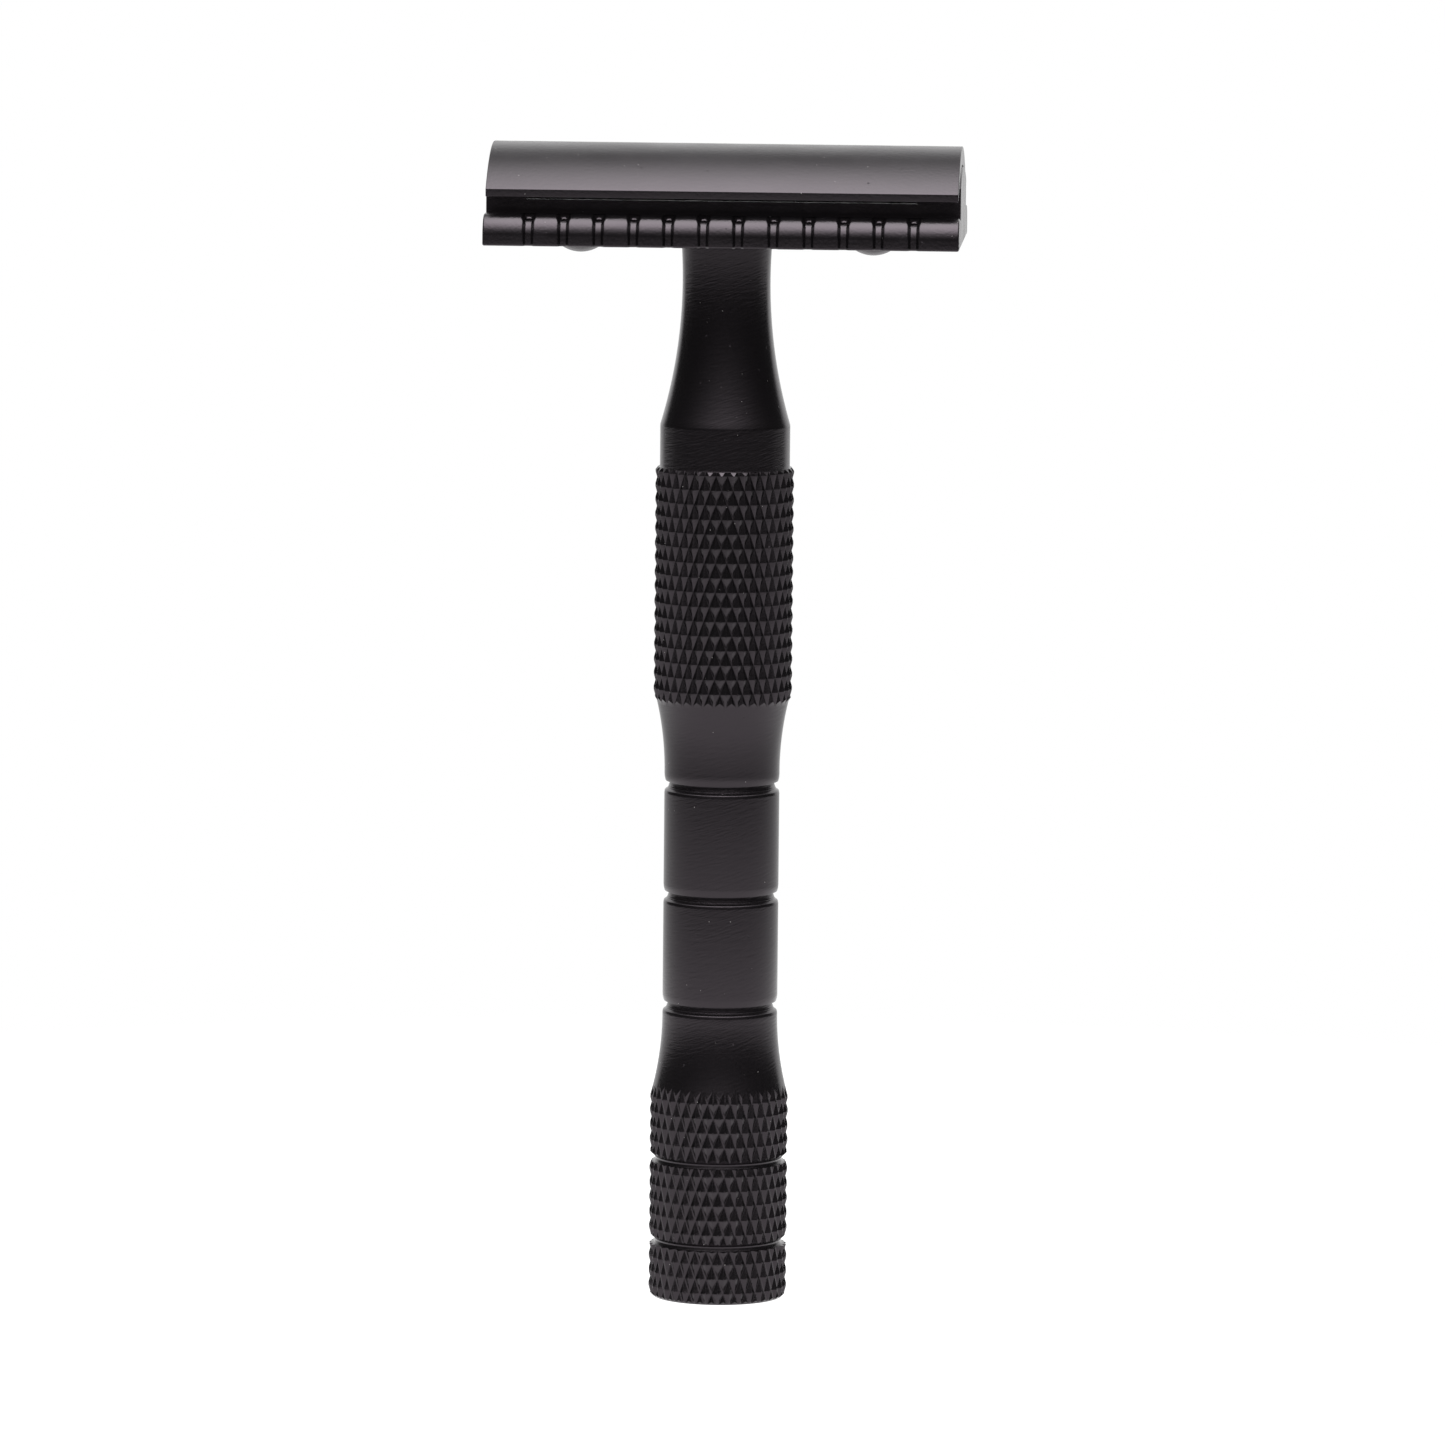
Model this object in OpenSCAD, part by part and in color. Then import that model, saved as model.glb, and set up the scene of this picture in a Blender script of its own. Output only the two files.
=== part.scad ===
// Three-piece double-edge safety razor, standing on the flat end of its handle.
// Z runs up the handle, X along the head, and the two blade edges face -Y and +Y.
// The origin is the centre of the handle's flat end.

/* [Handle] */
// Height of the shoulder that the base plate is clamped against
handle_h = 102.2; // [100:0.1:106]
// Crest diameter of the knurled grips
grip_d = 13.4; // [12.6:0.1:14.5]
// Diameter of the plain collar between the upper grip and the neck
collar_d = 12.5; // [11.6:0.1:12.5]
// Diameter of the slim middle of the handle
waist_d = 11.1; // [10:0.1:11.5]
// Smallest diameter of the neck
neck_d = 8.44; // [8:0.02:9]
// Height of the neck's slimmest place
neck_waist_z = 98.6; // [97:0.1:99.5]
// Radius of the neck's long hollow curve
neck_arc_r = 48.5; // [46:0.5:52]
// Radius of the two curved flares between the waist and the grips
flare_r = 30; // [24:1:34]
// Plain length between the upper flare and the groove below it
flare_foot_h = 0.8; // [0.4:0.1:1.5]
// Bevel round the flat end of the handle
foot_bevel = 0.45; // [0.2:0.05:1]

/* [Grips and grooves] */
// Top of the upper grip, where it steps down to the collar
upper_grip_top = 80.65; // [80:0.05:82]
// Bottom of the upper grip, where the flare ends
upper_grip_bottom = 58.1; // [57:0.1:60]
// Height of the steep step from the flare up to the upper grip's crests
grip_step_h = 0.45; // [0.2:0.05:0.8]
// Heights of the V grooves round the slim middle
waist_groove_z = [28.3, 39.0, 49.7];
// Width of a waist groove at the surface
waist_groove_w = 1.3; // [0.8:0.1:1.6]
// Depth of a waist groove
waist_groove_depth = 0.5; // [0.2:0.05:0.7]
// Heights of the V grooves that divide the lower grip
grip_groove_z = [5.7, 13.7];
// Width of a grip groove at the surface
grip_groove_w = 1.2; // [0.8:0.1:1.6]
// Depth of a grip groove
grip_groove_depth = 0.65; // [0.3:0.05:0.8]

/* [Thread] */
// Nominal diameter of the metric coarse thread that clamps the head
thread_d = 5; // [4:1:5]
// Rise of the thread in one turn
thread_pitch = 0.8; // [0.7:0.1:0.8]
// Outer diameter of the threaded insert in the neck
insert_d = 6.2; // [6:0.1:6.4]
// Length of the threaded insert
insert_l = 8; // [6:0.5:9]
// Length of the post below the handle's shoulder
post_engaged_l = 7.6; // [5:0.1:8]
// Length of the post that is pressed into the cap above the arch's underside
post_pressed_l = 0.9; // [0.5:0.1:1.2]

/* [Cap] */
// Length of the cap along X
cap_l = 45; // [44:0.1:46]
// Depth of the cap from lip to lip
cap_w = 21; // [20.6:0.1:21.4]
// Top of the cap's arch above the origin
cap_top_z = 111.7; // [111.4:0.1:112.5]
// Height of the upright lip along each long edge
lip_h = 0.82; // [0.5:0.02:1]
// Diameter of the boss that holds the post and centres the blade
boss_d = 6; // [5.8:0.1:6.2]
// Height of the boss's lower end above the plate's underside
boss_clear_h = 3.9; // [3.7:0.1:4.5]
// Diameter of the two alignment pins
pin_d = 4.4; // [4:0.1:4.6]
// Distance of each alignment pin from the handle's axis
pin_x = 14.05; // [13.8:0.05:14.2]
// Height of the pins' domed lower ends
pin_tip_z = 101.16; // [101:0.02:102]
// Radius of the dome on each pin
pin_dome_r = 3.3; // [2.6:0.1:4]
// Diameter of each pin's shank, which is pressed into the cap
pin_shank_d = 3; // [2:0.1:3.4]
// Length of each pin's shank
pin_shank_l = 1.2; // [0.8:0.1:1.3]

/* [Blade] */
// Length of the blade over its end tabs
blade_l = 43; // [42.8:0.1:43]
// Width of the blade when it is flat
blade_w = 22; // [21.9:0.1:22.1]
// Thickness of the blade
blade_t = 0.1; // [0.1:0.05:0.1]
// Length of each sharpened edge
blade_edge_l = 37.2; // [37:0.1:37.6]
// Width of the end tabs
blade_tab_w = 12; // [11:0.5:13]
// Depth of the notch at each corner, from the edge in to the tab's taper
blade_corner_h = 2.2; // [1.8:0.1:2.6]
// Length of the taper between the edge's end and the tab
blade_taper_l = 1.2; // [0.8:0.1:1.6]
// Width of the long slot
blade_slot_w = 2.4; // [2:0.1:3]
// Side of the square windows between the boss and the pins
blade_window_w = 3.2; // [2.6:0.1:3.6]
// Radius that the clamped blade is bent to
blade_bend_r = 20; // [19.5:0.1:21]

/* [Base plate] */
// Length of the base plate along X
plate_l = 45.3; // [45:0.1:46]
// Height of the plate's top above the axis that the blade is bent round
bend_drop = 15.62; // [15.4:0.01:15.8]
// Depth of the base plate over both safety bars
plate_w = 24.6; // [24:0.1:25.4]
// Height of the plate's underside and of the safety bars' lower edges
plate_bottom_z = 102.5; // [102.4:0.02:102.8]
// Thickness of the plate at the safety bars
plate_t = 2.95; // [2.6:0.05:3.1]
// Radius of the rounded upper edge of each safety bar
bar_r = 2; // [1.6:0.1:2.6]
// Depth of the raised bed that carries the blade
bed_w = 15.2; // [13:0.1:16]
// Number of notches in each safety bar
notches = 12; // [6:1:12]
// Distance between notches
notch_pitch = 3.33; // [3:0.01:3.4]
// Width of a notch
notch_w = 0.8; // [0.5:0.05:1.2]
// Depth of a notch
notch_depth = 0.4; // [0.2:0.05:0.6]
// Diameter of the drain hole at the top of each notch
drain_d = 0.8; // [0.5:0.05:1]
// Distance of each row of drain holes outside the bars' centre lines
drain_offset = 0.2; // [0:0.05:0.4]
// Diameter of the pad under the plate that meets the handle
pad_d = 9.2; // [8.6:0.1:10]

/* [Hidden] */
$fn = 96;
eps = 0.01;
black = [0.09, 0.09, 0.1];

// Fits
face_gap = 0.05;      // between parts that are clamped face to face
thread_gap = 0.05;    // radial, between the post and the threaded insert
slide_gap = 0.1;      // radial, between the pins and their holes
free_gap = 0.15;      // radial, round the post and the boss
window_gap = 0.6;     // across, between the blade's openings and the boss or the pins
insert_gap = 0.1;     // between the insert's end and the handle's shoulder

// Handle
lower_flare_z = waist_groove_z[0] - waist_groove_w / 2;
upper_flare_z = waist_groove_z[2] + waist_groove_w / 2 + flare_foot_h;
flare_rise = (grip_d - waist_d) / 2;
flare_h = sqrt(flare_r * flare_r - pow(flare_r - flare_rise, 2));
neck_h = sqrt(neck_arc_r * neck_arc_r - pow(neck_arc_r - (collar_d - neck_d) / 2, 2));
insert_top_z = handle_h - insert_gap;
insert_bottom_z = insert_top_z - insert_l;
curve_steps = 24;
flank_run = 0.9;      // how far a groove's flank runs for each unit of its depth
tap_relief_h = 2;     // the drilled hole goes this far below the insert

// Head: the blade, the cap's underside and the bed share one axis along X
bend_z = plate_bottom_z + plate_t - bend_drop;
cap_under_r = blade_bend_r + blade_t / 2 + face_gap;
bed_r = blade_bend_r - blade_t / 2 - face_gap;
lip_bottom_z = bend_z + sqrt(pow(cap_under_r, 2) - pow(cap_w / 2, 2));
arch_rise = cap_top_z - lip_bottom_z - lip_h;
arch_r = (pow(cap_w / 2, 2) + pow(arch_rise, 2)) / (2 * arch_rise);
boss_bottom_z = plate_bottom_z + boss_clear_h;
post_d = thread_d - 2 * thread_gap;
post_bottom_z = handle_h - post_engaged_l;
post_top_z = bend_z + cap_under_r + post_pressed_l;
pin_shoulder_z = bend_z + sqrt(pow(cap_under_r, 2) - pow(pin_d / 2, 2)) - eps;
blade_half_chord = blade_bend_r * sin(blade_w / 2 / blade_bend_r * 180 / PI);
bar_centre_y = plate_w / 2 - bar_r;
bar_centre_z = plate_bottom_z + plate_t - bar_r;
drain_y = bar_centre_y + drain_offset;

// Points up one hollow curve: radius r_min at height z_min, bulging to r_min + rise at z_min + side * height
function hollow(r_min, z_min, arc_r, from, to) = [
    for (i = [0 : curve_steps])
        let (dz = from + (to - from) * i / curve_steps)
        [r_min + arc_r - sqrt(arc_r * arc_r - dz * dz), z_min + dz]
];

// The turned outline of the handle, from the axis at the foot to the axis at the shoulder
module handle_outline() {
    polygon(concat(
        [[0, 0], [grip_d / 2 - foot_bevel, 0], [grip_d / 2, foot_bevel]],
        hollow(waist_d / 2, lower_flare_z, flare_r, -flare_h, 0),
        hollow(waist_d / 2, upper_flare_z, flare_r, 0, upper_grip_bottom - upper_flare_z),
        [[grip_d / 2, upper_grip_bottom + grip_step_h],
         [grip_d / 2, upper_grip_top - (grip_d - collar_d) / 2],
         [collar_d / 2, upper_grip_top]],
        hollow(neck_d / 2, neck_waist_z, neck_arc_r, -neck_h, handle_h - neck_waist_z),
        [[0, handle_h]]
    ));
}

// A V groove with a narrow flat floor, cut round a surface of diameter d
module v_groove(d, z, w, depth) {
    floor_w = w - 2 * depth * flank_run;
    rotate_extrude()
        polygon([
            [d / 2 - depth, z - floor_w / 2], [d / 2 - depth, z + floor_w / 2],
            [d / 2 + eps, z + w / 2 + eps], [d / 2 + eps, z - w / 2 - eps]
        ]);
}

module handle() {
    color(black)
    difference() {
        rotate_extrude() handle_outline();
        for (z = waist_groove_z) v_groove(waist_d, z, waist_groove_w, waist_groove_depth);
        for (z = grip_groove_z) v_groove(grip_d, z, grip_groove_w, grip_groove_depth);
        translate([0, 0, insert_bottom_z]) cylinder(d = insert_d, h = handle_h);
        translate([0, 0, insert_bottom_z - tap_relief_h]) cylinder(d = thread_d, h = tap_relief_h + 1);
    }
}

module thread_insert() {
    color([0.72, 0.6, 0.35])
    translate([0, 0, insert_bottom_z])
    difference() {
        cylinder(d = insert_d, h = insert_l);
        translate([0, 0, -1]) cylinder(d = thread_d, h = insert_l + 2);
    }
}

// Draws a profile in Y and Z, and extrudes it to length l along X
module along_x(l) {
    translate([-l / 2, 0, 0]) rotate([90, 0, 90]) linear_extrude(l) children();
}

// Section of the plate with both rounded bars, drawn smaller all round by inset
module plate_section(inset = 0) {
    top = plate_bottom_z + plate_t - inset;
    intersection() {
        union() {
            translate([-bar_centre_y, bar_centre_z - bar_r])
                square([2 * bar_centre_y, top - bar_centre_z + bar_r]);
            for (side = [-1, 1])
                translate([side * bar_centre_y, bar_centre_z]) circle(r = bar_r - inset);
        }
        translate([-plate_w, plate_bottom_z]) square([2 * plate_w, plate_t]);
    }
}

// Section of the raised bed, whose top is curved like the blade
module bed_section() {
    intersection() {
        translate([0, bend_z]) circle(r = bed_r, $fn = 240);
        translate([-bed_w / 2, plate_bottom_z + plate_t - 1]) square([bed_w, 10]);
    }
}

// One notch round both bars at position x
module notch(x) {
    translate([x, 0, 0]) along_x(notch_w)
    difference() {
        for (side = [-1, 1])
            translate([side * bar_centre_y + (side < 0 ? -2 * bar_r : 0), plate_bottom_z - 1])
                square([2 * bar_r, plate_t + 2]);
        plate_section(notch_depth);
    }
}

module base_plate() {
    color(black)
    difference() {
        union() {
            along_x(plate_l) plate_section();
            along_x(plate_l) bed_section();
            translate([0, 0, handle_h + face_gap]) cylinder(d = pad_d, h = 1);
        }
        for (i = [0 : notches - 1]) {
            x = (i - (notches - 1) / 2) * notch_pitch;
            notch(x);
            for (side = [-1, 1])
                translate([x, side * drain_y, plate_bottom_z - 1])
                    cylinder(d = drain_d, h = plate_t + 2, $fn = 24);
        }
        cylinder(d = thread_d + 2 * free_gap, h = cap_top_z);
        translate([0, 0, boss_bottom_z - free_gap]) cylinder(d = boss_d + 2 * free_gap, h = 10);
        for (side = [-1, 1])
            translate([side * pin_x, 0, plate_bottom_z - 1]) cylinder(d = pin_d + 2 * slide_gap, h = 10);
    }
}

// Plan of the blade: an edge on each long side and a narrower tab at each end
module blade_plan() {
    tab_x = blade_l / 2;
    edge_x = blade_edge_l / 2;
    shoulder_y = blade_half_chord - blade_corner_h;
    tab_bevel = 0.4;
    right_half = [
        [edge_x, blade_half_chord], [edge_x, shoulder_y], [edge_x + blade_taper_l, blade_tab_w / 2],
        [tab_x - tab_bevel, blade_tab_w / 2], [tab_x, blade_tab_w / 2 - tab_bevel]
    ];
    difference() {
        polygon(concat(
            right_half,
            [for (i = [len(right_half) - 1 : -1 : 0]) [right_half[i][0], -right_half[i][1]]],
            [for (p = right_half) [-p[0], -p[1]]],
            [for (i = [len(right_half) - 1 : -1 : 0]) [-right_half[i][0], right_half[i][1]]]
        ));
        blade_slot();
    }
}

// The long slot through the blade, with its wider places for the boss and the pins
module blade_slot() {
    square([2 * pin_x, blade_slot_w], center = true);
    circle(d = boss_d + window_gap);
    for (side = [-1, 1]) {
        translate([side * pin_x / 2, 0]) rotate(45) square(blade_window_w, center = true);
        translate([side * pin_x, 0]) square(pin_d + window_gap, center = true);
    }
}

module blade() {
    color([0.6, 0.61, 0.62])
    intersection() {
        along_x(blade_l + 2)
        translate([0, bend_z])
        difference() {
            circle(r = blade_bend_r + blade_t / 2, $fn = 240);
            circle(r = blade_bend_r - blade_t / 2, $fn = 240);
        }
        translate([0, 0, bend_z + 10]) linear_extrude(20) blade_plan();
    }
}

module cap() {
    color(black)
    difference() {
        union() {
            along_x(cap_l)
            difference() {
                intersection() {
                    translate([0, cap_top_z - arch_r]) circle(r = arch_r, $fn = 240);
                    translate([-cap_w / 2, bend_z]) square([cap_w, 40]);
                }
                translate([0, bend_z]) circle(r = cap_under_r, $fn = 240);
            }
            translate([0, 0, boss_bottom_z]) cylinder(d = boss_d, h = post_top_z - boss_bottom_z);
        }
        translate([0, 0, boss_bottom_z - 1]) cylinder(d = post_d, h = post_top_z - boss_bottom_z + 1);
        for (side = [-1, 1])
            translate([side * pin_x, 0, pin_shoulder_z - 1]) cylinder(d = pin_shank_d, h = pin_shank_l + 1);
    }
}

module threaded_post() {
    bevel = 0.75 * thread_pitch;
    color([0.5, 0.5, 0.52])
    rotate_extrude()
        polygon([
            [0, post_bottom_z], [post_d / 2 - bevel, post_bottom_z], [post_d / 2, post_bottom_z + bevel],
            [post_d / 2, post_top_z], [0, post_top_z]
        ]);
}

// A pin with a domed lower end and a thinner shank that is pressed into the cap
module alignment_pin(side) {
    dome_h = pin_dome_r - sqrt(pow(pin_dome_r, 2) - pow(pin_d / 2, 2));
    color(black)
    translate([side * pin_x, 0, 0]) {
        translate([0, 0, pin_tip_z + dome_h]) cylinder(d = pin_d, h = pin_shoulder_z - pin_tip_z - dome_h);
        translate([0, 0, pin_shoulder_z - eps]) cylinder(d = pin_shank_d, h = pin_shank_l + eps);
        intersection() {
            translate([0, 0, pin_tip_z + pin_dome_r]) sphere(r = pin_dome_r);
            translate([0, 0, pin_tip_z - 1]) cylinder(d = pin_d, h = dome_h + 1 + eps);
        }
    }
}

module left_pin() { alignment_pin(-1); }
module right_pin() { alignment_pin(1); }

handle();
thread_insert();
base_plate();
blade();
cap();
threaded_post();
left_pin();
right_pin();
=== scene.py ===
"""A black three-piece safety razor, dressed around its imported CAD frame.

Shapes are worked out in millimetres and become metres when a mesh is made. Z runs up the handle,
X along the head, and azimuths are measured from -Y towards +X.
"""
import math

import bmesh
import bpy
from mathutils import Matrix, Vector


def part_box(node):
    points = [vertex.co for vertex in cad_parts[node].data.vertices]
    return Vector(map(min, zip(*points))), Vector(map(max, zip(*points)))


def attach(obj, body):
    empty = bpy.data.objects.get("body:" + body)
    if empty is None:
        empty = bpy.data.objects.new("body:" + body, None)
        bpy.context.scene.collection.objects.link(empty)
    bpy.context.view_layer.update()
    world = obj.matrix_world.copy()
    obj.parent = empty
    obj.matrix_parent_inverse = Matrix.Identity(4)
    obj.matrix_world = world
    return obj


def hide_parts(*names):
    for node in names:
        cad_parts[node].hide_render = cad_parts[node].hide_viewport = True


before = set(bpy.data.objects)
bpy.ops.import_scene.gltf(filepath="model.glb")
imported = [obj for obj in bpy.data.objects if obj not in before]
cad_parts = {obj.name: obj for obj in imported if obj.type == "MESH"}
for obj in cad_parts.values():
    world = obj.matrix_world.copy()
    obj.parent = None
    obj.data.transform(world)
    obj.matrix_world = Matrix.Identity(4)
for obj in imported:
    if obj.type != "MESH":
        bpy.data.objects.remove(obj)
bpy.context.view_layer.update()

MM = 0.001
ARC_STEP = math.radians(11)
SMOOTH_ANGLE = math.radians(24)


def box_mm(node):
    """Lowest and highest corner of a CAD node, in millimetres."""
    low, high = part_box(node)
    return low / MM, high / MM


# ---------------------------------------------------------------- sizes from the frame

SHOULDER_Z = box_mm("handle")[1].z
GRIP_R = box_mm("handle")[1].x
INSERT_LOW, INSERT_HIGH = box_mm("thread_insert")
PLATE_LOW, PLATE_HIGH = box_mm("base_plate")
CAP_LOW, CAP_HIGH = box_mm("cap")
BLADE_HIGH = box_mm("blade")[1]
POST_LOW, POST_HIGH = box_mm("threaded_post")
PIN_LOW, PIN_HIGH = box_mm("right_pin")

# ---------------------------------------------------------------- handle sizes

COLLAR_R = 6.25
WAIST_R = 5.55
NECK_R = 4.22
NECK_WAIST_Z = 98.6
NECK_ARC_R = 48.5
FLARE_R = 30.0
FOOT_BEVEL = 0.45
UPPER_GRIP_TOP = 80.65
UPPER_GRIP_CHAMFER_H = 0.35
UPPER_GRIP_CHAMFER_R = 6.44
UPPER_FLARE_TOP = 58.1
GRIP_STEP_H = 0.45
WAIST_GROOVES = (28.3, 39.0, 49.7)
WAIST_GROOVE_W = 1.3
GRIP_GROOVES = (5.7, 13.7)
# Groove profiles as (height from the middle, depth, fillet), from the lower edge up
WAIST_GROOVE = (
    (-0.62, 0, 0.6), (-0.36, 0.05, 0.12), (-0.16, 0.34, 0.02), (-0.09, 0.35, 0.02), (-0.04, 0.4, 0.02),
    (0.1, 0.42, 0.02), (0.16, 0.47, 0.02), (0.44, 0.5, 0.06), (0.56, 0.46, 0.03), (0.56, 0.12, 0.03),
    (0.9, 0, 1.9),
)
GRIP_GROOVE = ((-0.6, 0, 0.07), (-0.46, 0.48, 0.03), (-0.2, 0.55, 0.04), (-0.06, 0.52, 0.03), (0.46, 0, 0))
FLARE_FOOT_H = 0.8
TAP_RELIEF_H = 2.0
HANDLE_SEGMENTS = 216

# Knurling: rows of four-sided points, half of them offset by half a pitch in every other row
KNURL_POINTS = 36
KNURL_ROOT_R = 6.34
KNURL_TIP_R = GRIP_R + 0.02
KNURL_TIP_FLAT = 0.03
KNURL_EDGE = 0.1
KNURL_FINE_EDGE = 0.15
UPPER_KNURL = {"top_z": 81.674, "row_h": 1.402, "rows": 19, "turn": 5.5, "leading": 0.3}
LOWER_KNURL = {"top_z": 23.821, "row_h": 1.421, "rows": 18, "turn": 3.2, "leading": 1.0}

# Thread
PITCH = 0.8
THREAD_DEPTH = 0.4
THREAD_GAP = 0.05
THREAD_SEGMENTS = 48
RINGS_PER_TURN = 14
POST_PLAIN_BELOW_BOSS = 0.5
INSERT_BEVEL = 0.15

# ---------------------------------------------------------------- head sizes

PLATE_BOTTOM_Z = 102.5
PLATE_T = 2.95
PLATE_TOP_Z = PLATE_BOTTOM_Z + PLATE_T
BAR_R = 2.0
BAR_Y = PLATE_HIGH.y - BAR_R
BAR_Z = PLATE_TOP_Z - BAR_R
BED_HALF_W = 7.6
GUTTER_DEPTH = 0.25
PLATE_END_R = 0.17
NOTCHES = 12
NOTCH_PITCH = 3.33
NOTCH_DEPTH = 0.4
NOTCH_FLOOR_HALF = 0.24
NOTCH_TOP_HALF = 0.66
NOTCH_POWER = 1.6
DRAIN_R = 0.4
DRAIN_RIM = 0.1
DRAIN_Y = BAR_Y + 0.2
PAD_R = 4.6
BLADE_T = 0.1
BEND_R = 20.0
BEND_Z = BLADE_HIGH.z - BEND_R - BLADE_T / 2
BED_R = PLATE_HIGH.z - BEND_Z
PIN_X = (PIN_LOW.x + PIN_HIGH.x) / 2
PIN_R = (PIN_HIGH.x - PIN_LOW.x) / 2
PIN_DOME_R = 3.3
PIN_SHANK_R = 1.5
PIN_SHANK_L = 1.2
BOSS_R = 3.0
CAP_UNDER_R = BEND_R + BLADE_T / 2 + 0.05
LIP_H = 0.82
LIP_LEAN = 0.05
LIP_EDGE_R = 0.08
CAP_END_R = 0.07
SLIDE_GAP = 0.1
FREE_GAP = 0.15

# ---------------------------------------------------------------- camera

CAMERA_DISTANCE = 1.098
CAMERA_ELEVATION = 6.6
CAMERA_AZIMUTH = 3.0
CAMERA_ROLL = 0.54
CAMERA_LENS = 283.7


def make_camera():
    """A long lens a little above the razor and to its right, aimed at the middle of its height."""
    azimuth, elevation = math.radians(CAMERA_AZIMUTH), math.radians(CAMERA_ELEVATION)
    back = Vector((
        math.sin(azimuth) * math.cos(elevation),
        -math.cos(azimuth) * math.cos(elevation),
        math.sin(elevation),
    ))
    target = Vector((0, 0, CAP_HIGH.z / 2 * MM))
    data = bpy.data.cameras.new("camera")
    data.sensor_width = 36
    data.lens = CAMERA_LENS
    data.clip_start, data.clip_end = 0.05, 50
    camera = bpy.data.objects.new("camera", data)
    bpy.context.scene.collection.objects.link(camera)
    aim = (-back).to_track_quat("-Z", "Y").to_matrix().to_4x4()
    roll = Matrix.Rotation(math.radians(CAMERA_ROLL), 4, "Z")
    camera.matrix_world = Matrix.Translation(target + back * CAMERA_DISTANCE) @ aim @ roll
    bpy.context.scene.camera = camera


# ---------------------------------------------------------------- studio

BOX_LIGHT = 6.6
BOX_ELEVATION = 77.5
BOX_SPREAD = 37
BOX_EDGE = 2.5
BACKDROP_LIGHT = 0.9
BACKDROP_HALF_WIDTH = (34, 50)
BACKDROP_TOP = (25, 48)
ROOM_LIGHT = 0.06
FLOOR_RADIUS = 1.3
TABLE_NEAR_LIGHT = 1.27
TABLE_NEAR_EDGE = (0.13, 0.25)
TABLE_LIGHT = 0.75
TABLE_FRONT_FADE = (0.4, 1.6)
TABLE_BACK_START = (0.0, 0.3)
FLOOR_DROP = 0.00002


class Nodes:
    """Adds and links shader nodes in a node tree."""

    def __init__(self, tree):
        self.tree = tree
        tree.nodes.clear()

    def add(self, kind, inputs=None, **settings):
        node = self.tree.nodes.new(kind)
        for key, value in settings.items():
            setattr(node, key, value)
        for key, value in (inputs or {}).items():
            if isinstance(value, bpy.types.NodeSocket):
                self.tree.links.new(value, node.inputs[key])
            else:
                node.inputs[key].default_value = value
        return node

    def math(self, operation, first, second=0.0):
        node = self.add("ShaderNodeMath", {0: first, 1: second}, operation=operation)
        return node.outputs[0]

    def ramp(self, value, low, high, to_low=0.0, to_high=1.0):
        """value taken smoothly from (low, high) to (to_low, to_high)."""
        node = self.add(
            "ShaderNodeMapRange",
            {"Value": value, "From Min": low, "From Max": high, "To Min": to_low, "To Max": to_high},
            interpolation_type="SMOOTHSTEP",
        )
        return node.outputs[0]


def make_world():
    """A soft box overhead and a white backdrop in a dark room; the camera itself sees plain white."""
    world = bpy.data.worlds.new("studio")
    bpy.context.scene.world = world
    world.use_nodes = True
    n = Nodes(world.node_tree)
    direction = n.add("ShaderNodeTexCoord").outputs["Generated"]
    elevation = math.radians(BOX_ELEVATION)
    towards_box = n.add(
        "ShaderNodeVectorMath",
        {0: direction, 1: (0, -math.cos(elevation), math.sin(elevation))},
        operation="DOT_PRODUCT",
    ).outputs["Value"]
    away = n.math("DIVIDE", n.math("ARCCOSINE", towards_box), math.radians(BOX_SPREAD))
    falloff = n.math("EXPONENT", n.math("MULTIPLY", n.math("POWER", away, BOX_EDGE), -1))
    box = n.math("MULTIPLY", falloff, BOX_LIGHT)
    x, y, z = n.add("ShaderNodeSeparateXYZ", {0: direction}).outputs
    level = n.math("SQRT", n.math("ADD", n.math("MULTIPLY", x, x), n.math("MULTIPLY", y, y)))
    full_width, no_width = (math.cos(math.radians(a)) for a in BACKDROP_HALF_WIDTH)
    behind = n.ramp(n.math("DIVIDE", y, level), no_width, full_width)
    full_height, no_height = (math.sin(math.radians(a)) for a in BACKDROP_TOP)
    low = n.ramp(z, full_height, no_height, 1, 0)
    backdrop = n.math("MULTIPLY", n.math("MULTIPLY", behind, low), BACKDROP_LIGHT)
    light = n.math("ADD", n.math("ADD", box, backdrop), ROOM_LIGHT)
    lit = n.add("ShaderNodeBackground", {"Color": (1, 1, 1, 1), "Strength": light})
    seen = n.add("ShaderNodeBackground", {"Color": (1, 1, 1, 1), "Strength": 1.0})
    is_camera = n.add("ShaderNodeLightPath").outputs["Is Camera Ray"]
    mix = n.add("ShaderNodeMixShader", {0: is_camera, 1: lit.outputs[0], 2: seen.outputs[0]})
    n.add("ShaderNodeOutputWorld", {"Surface": mix.outputs[0]})


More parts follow.
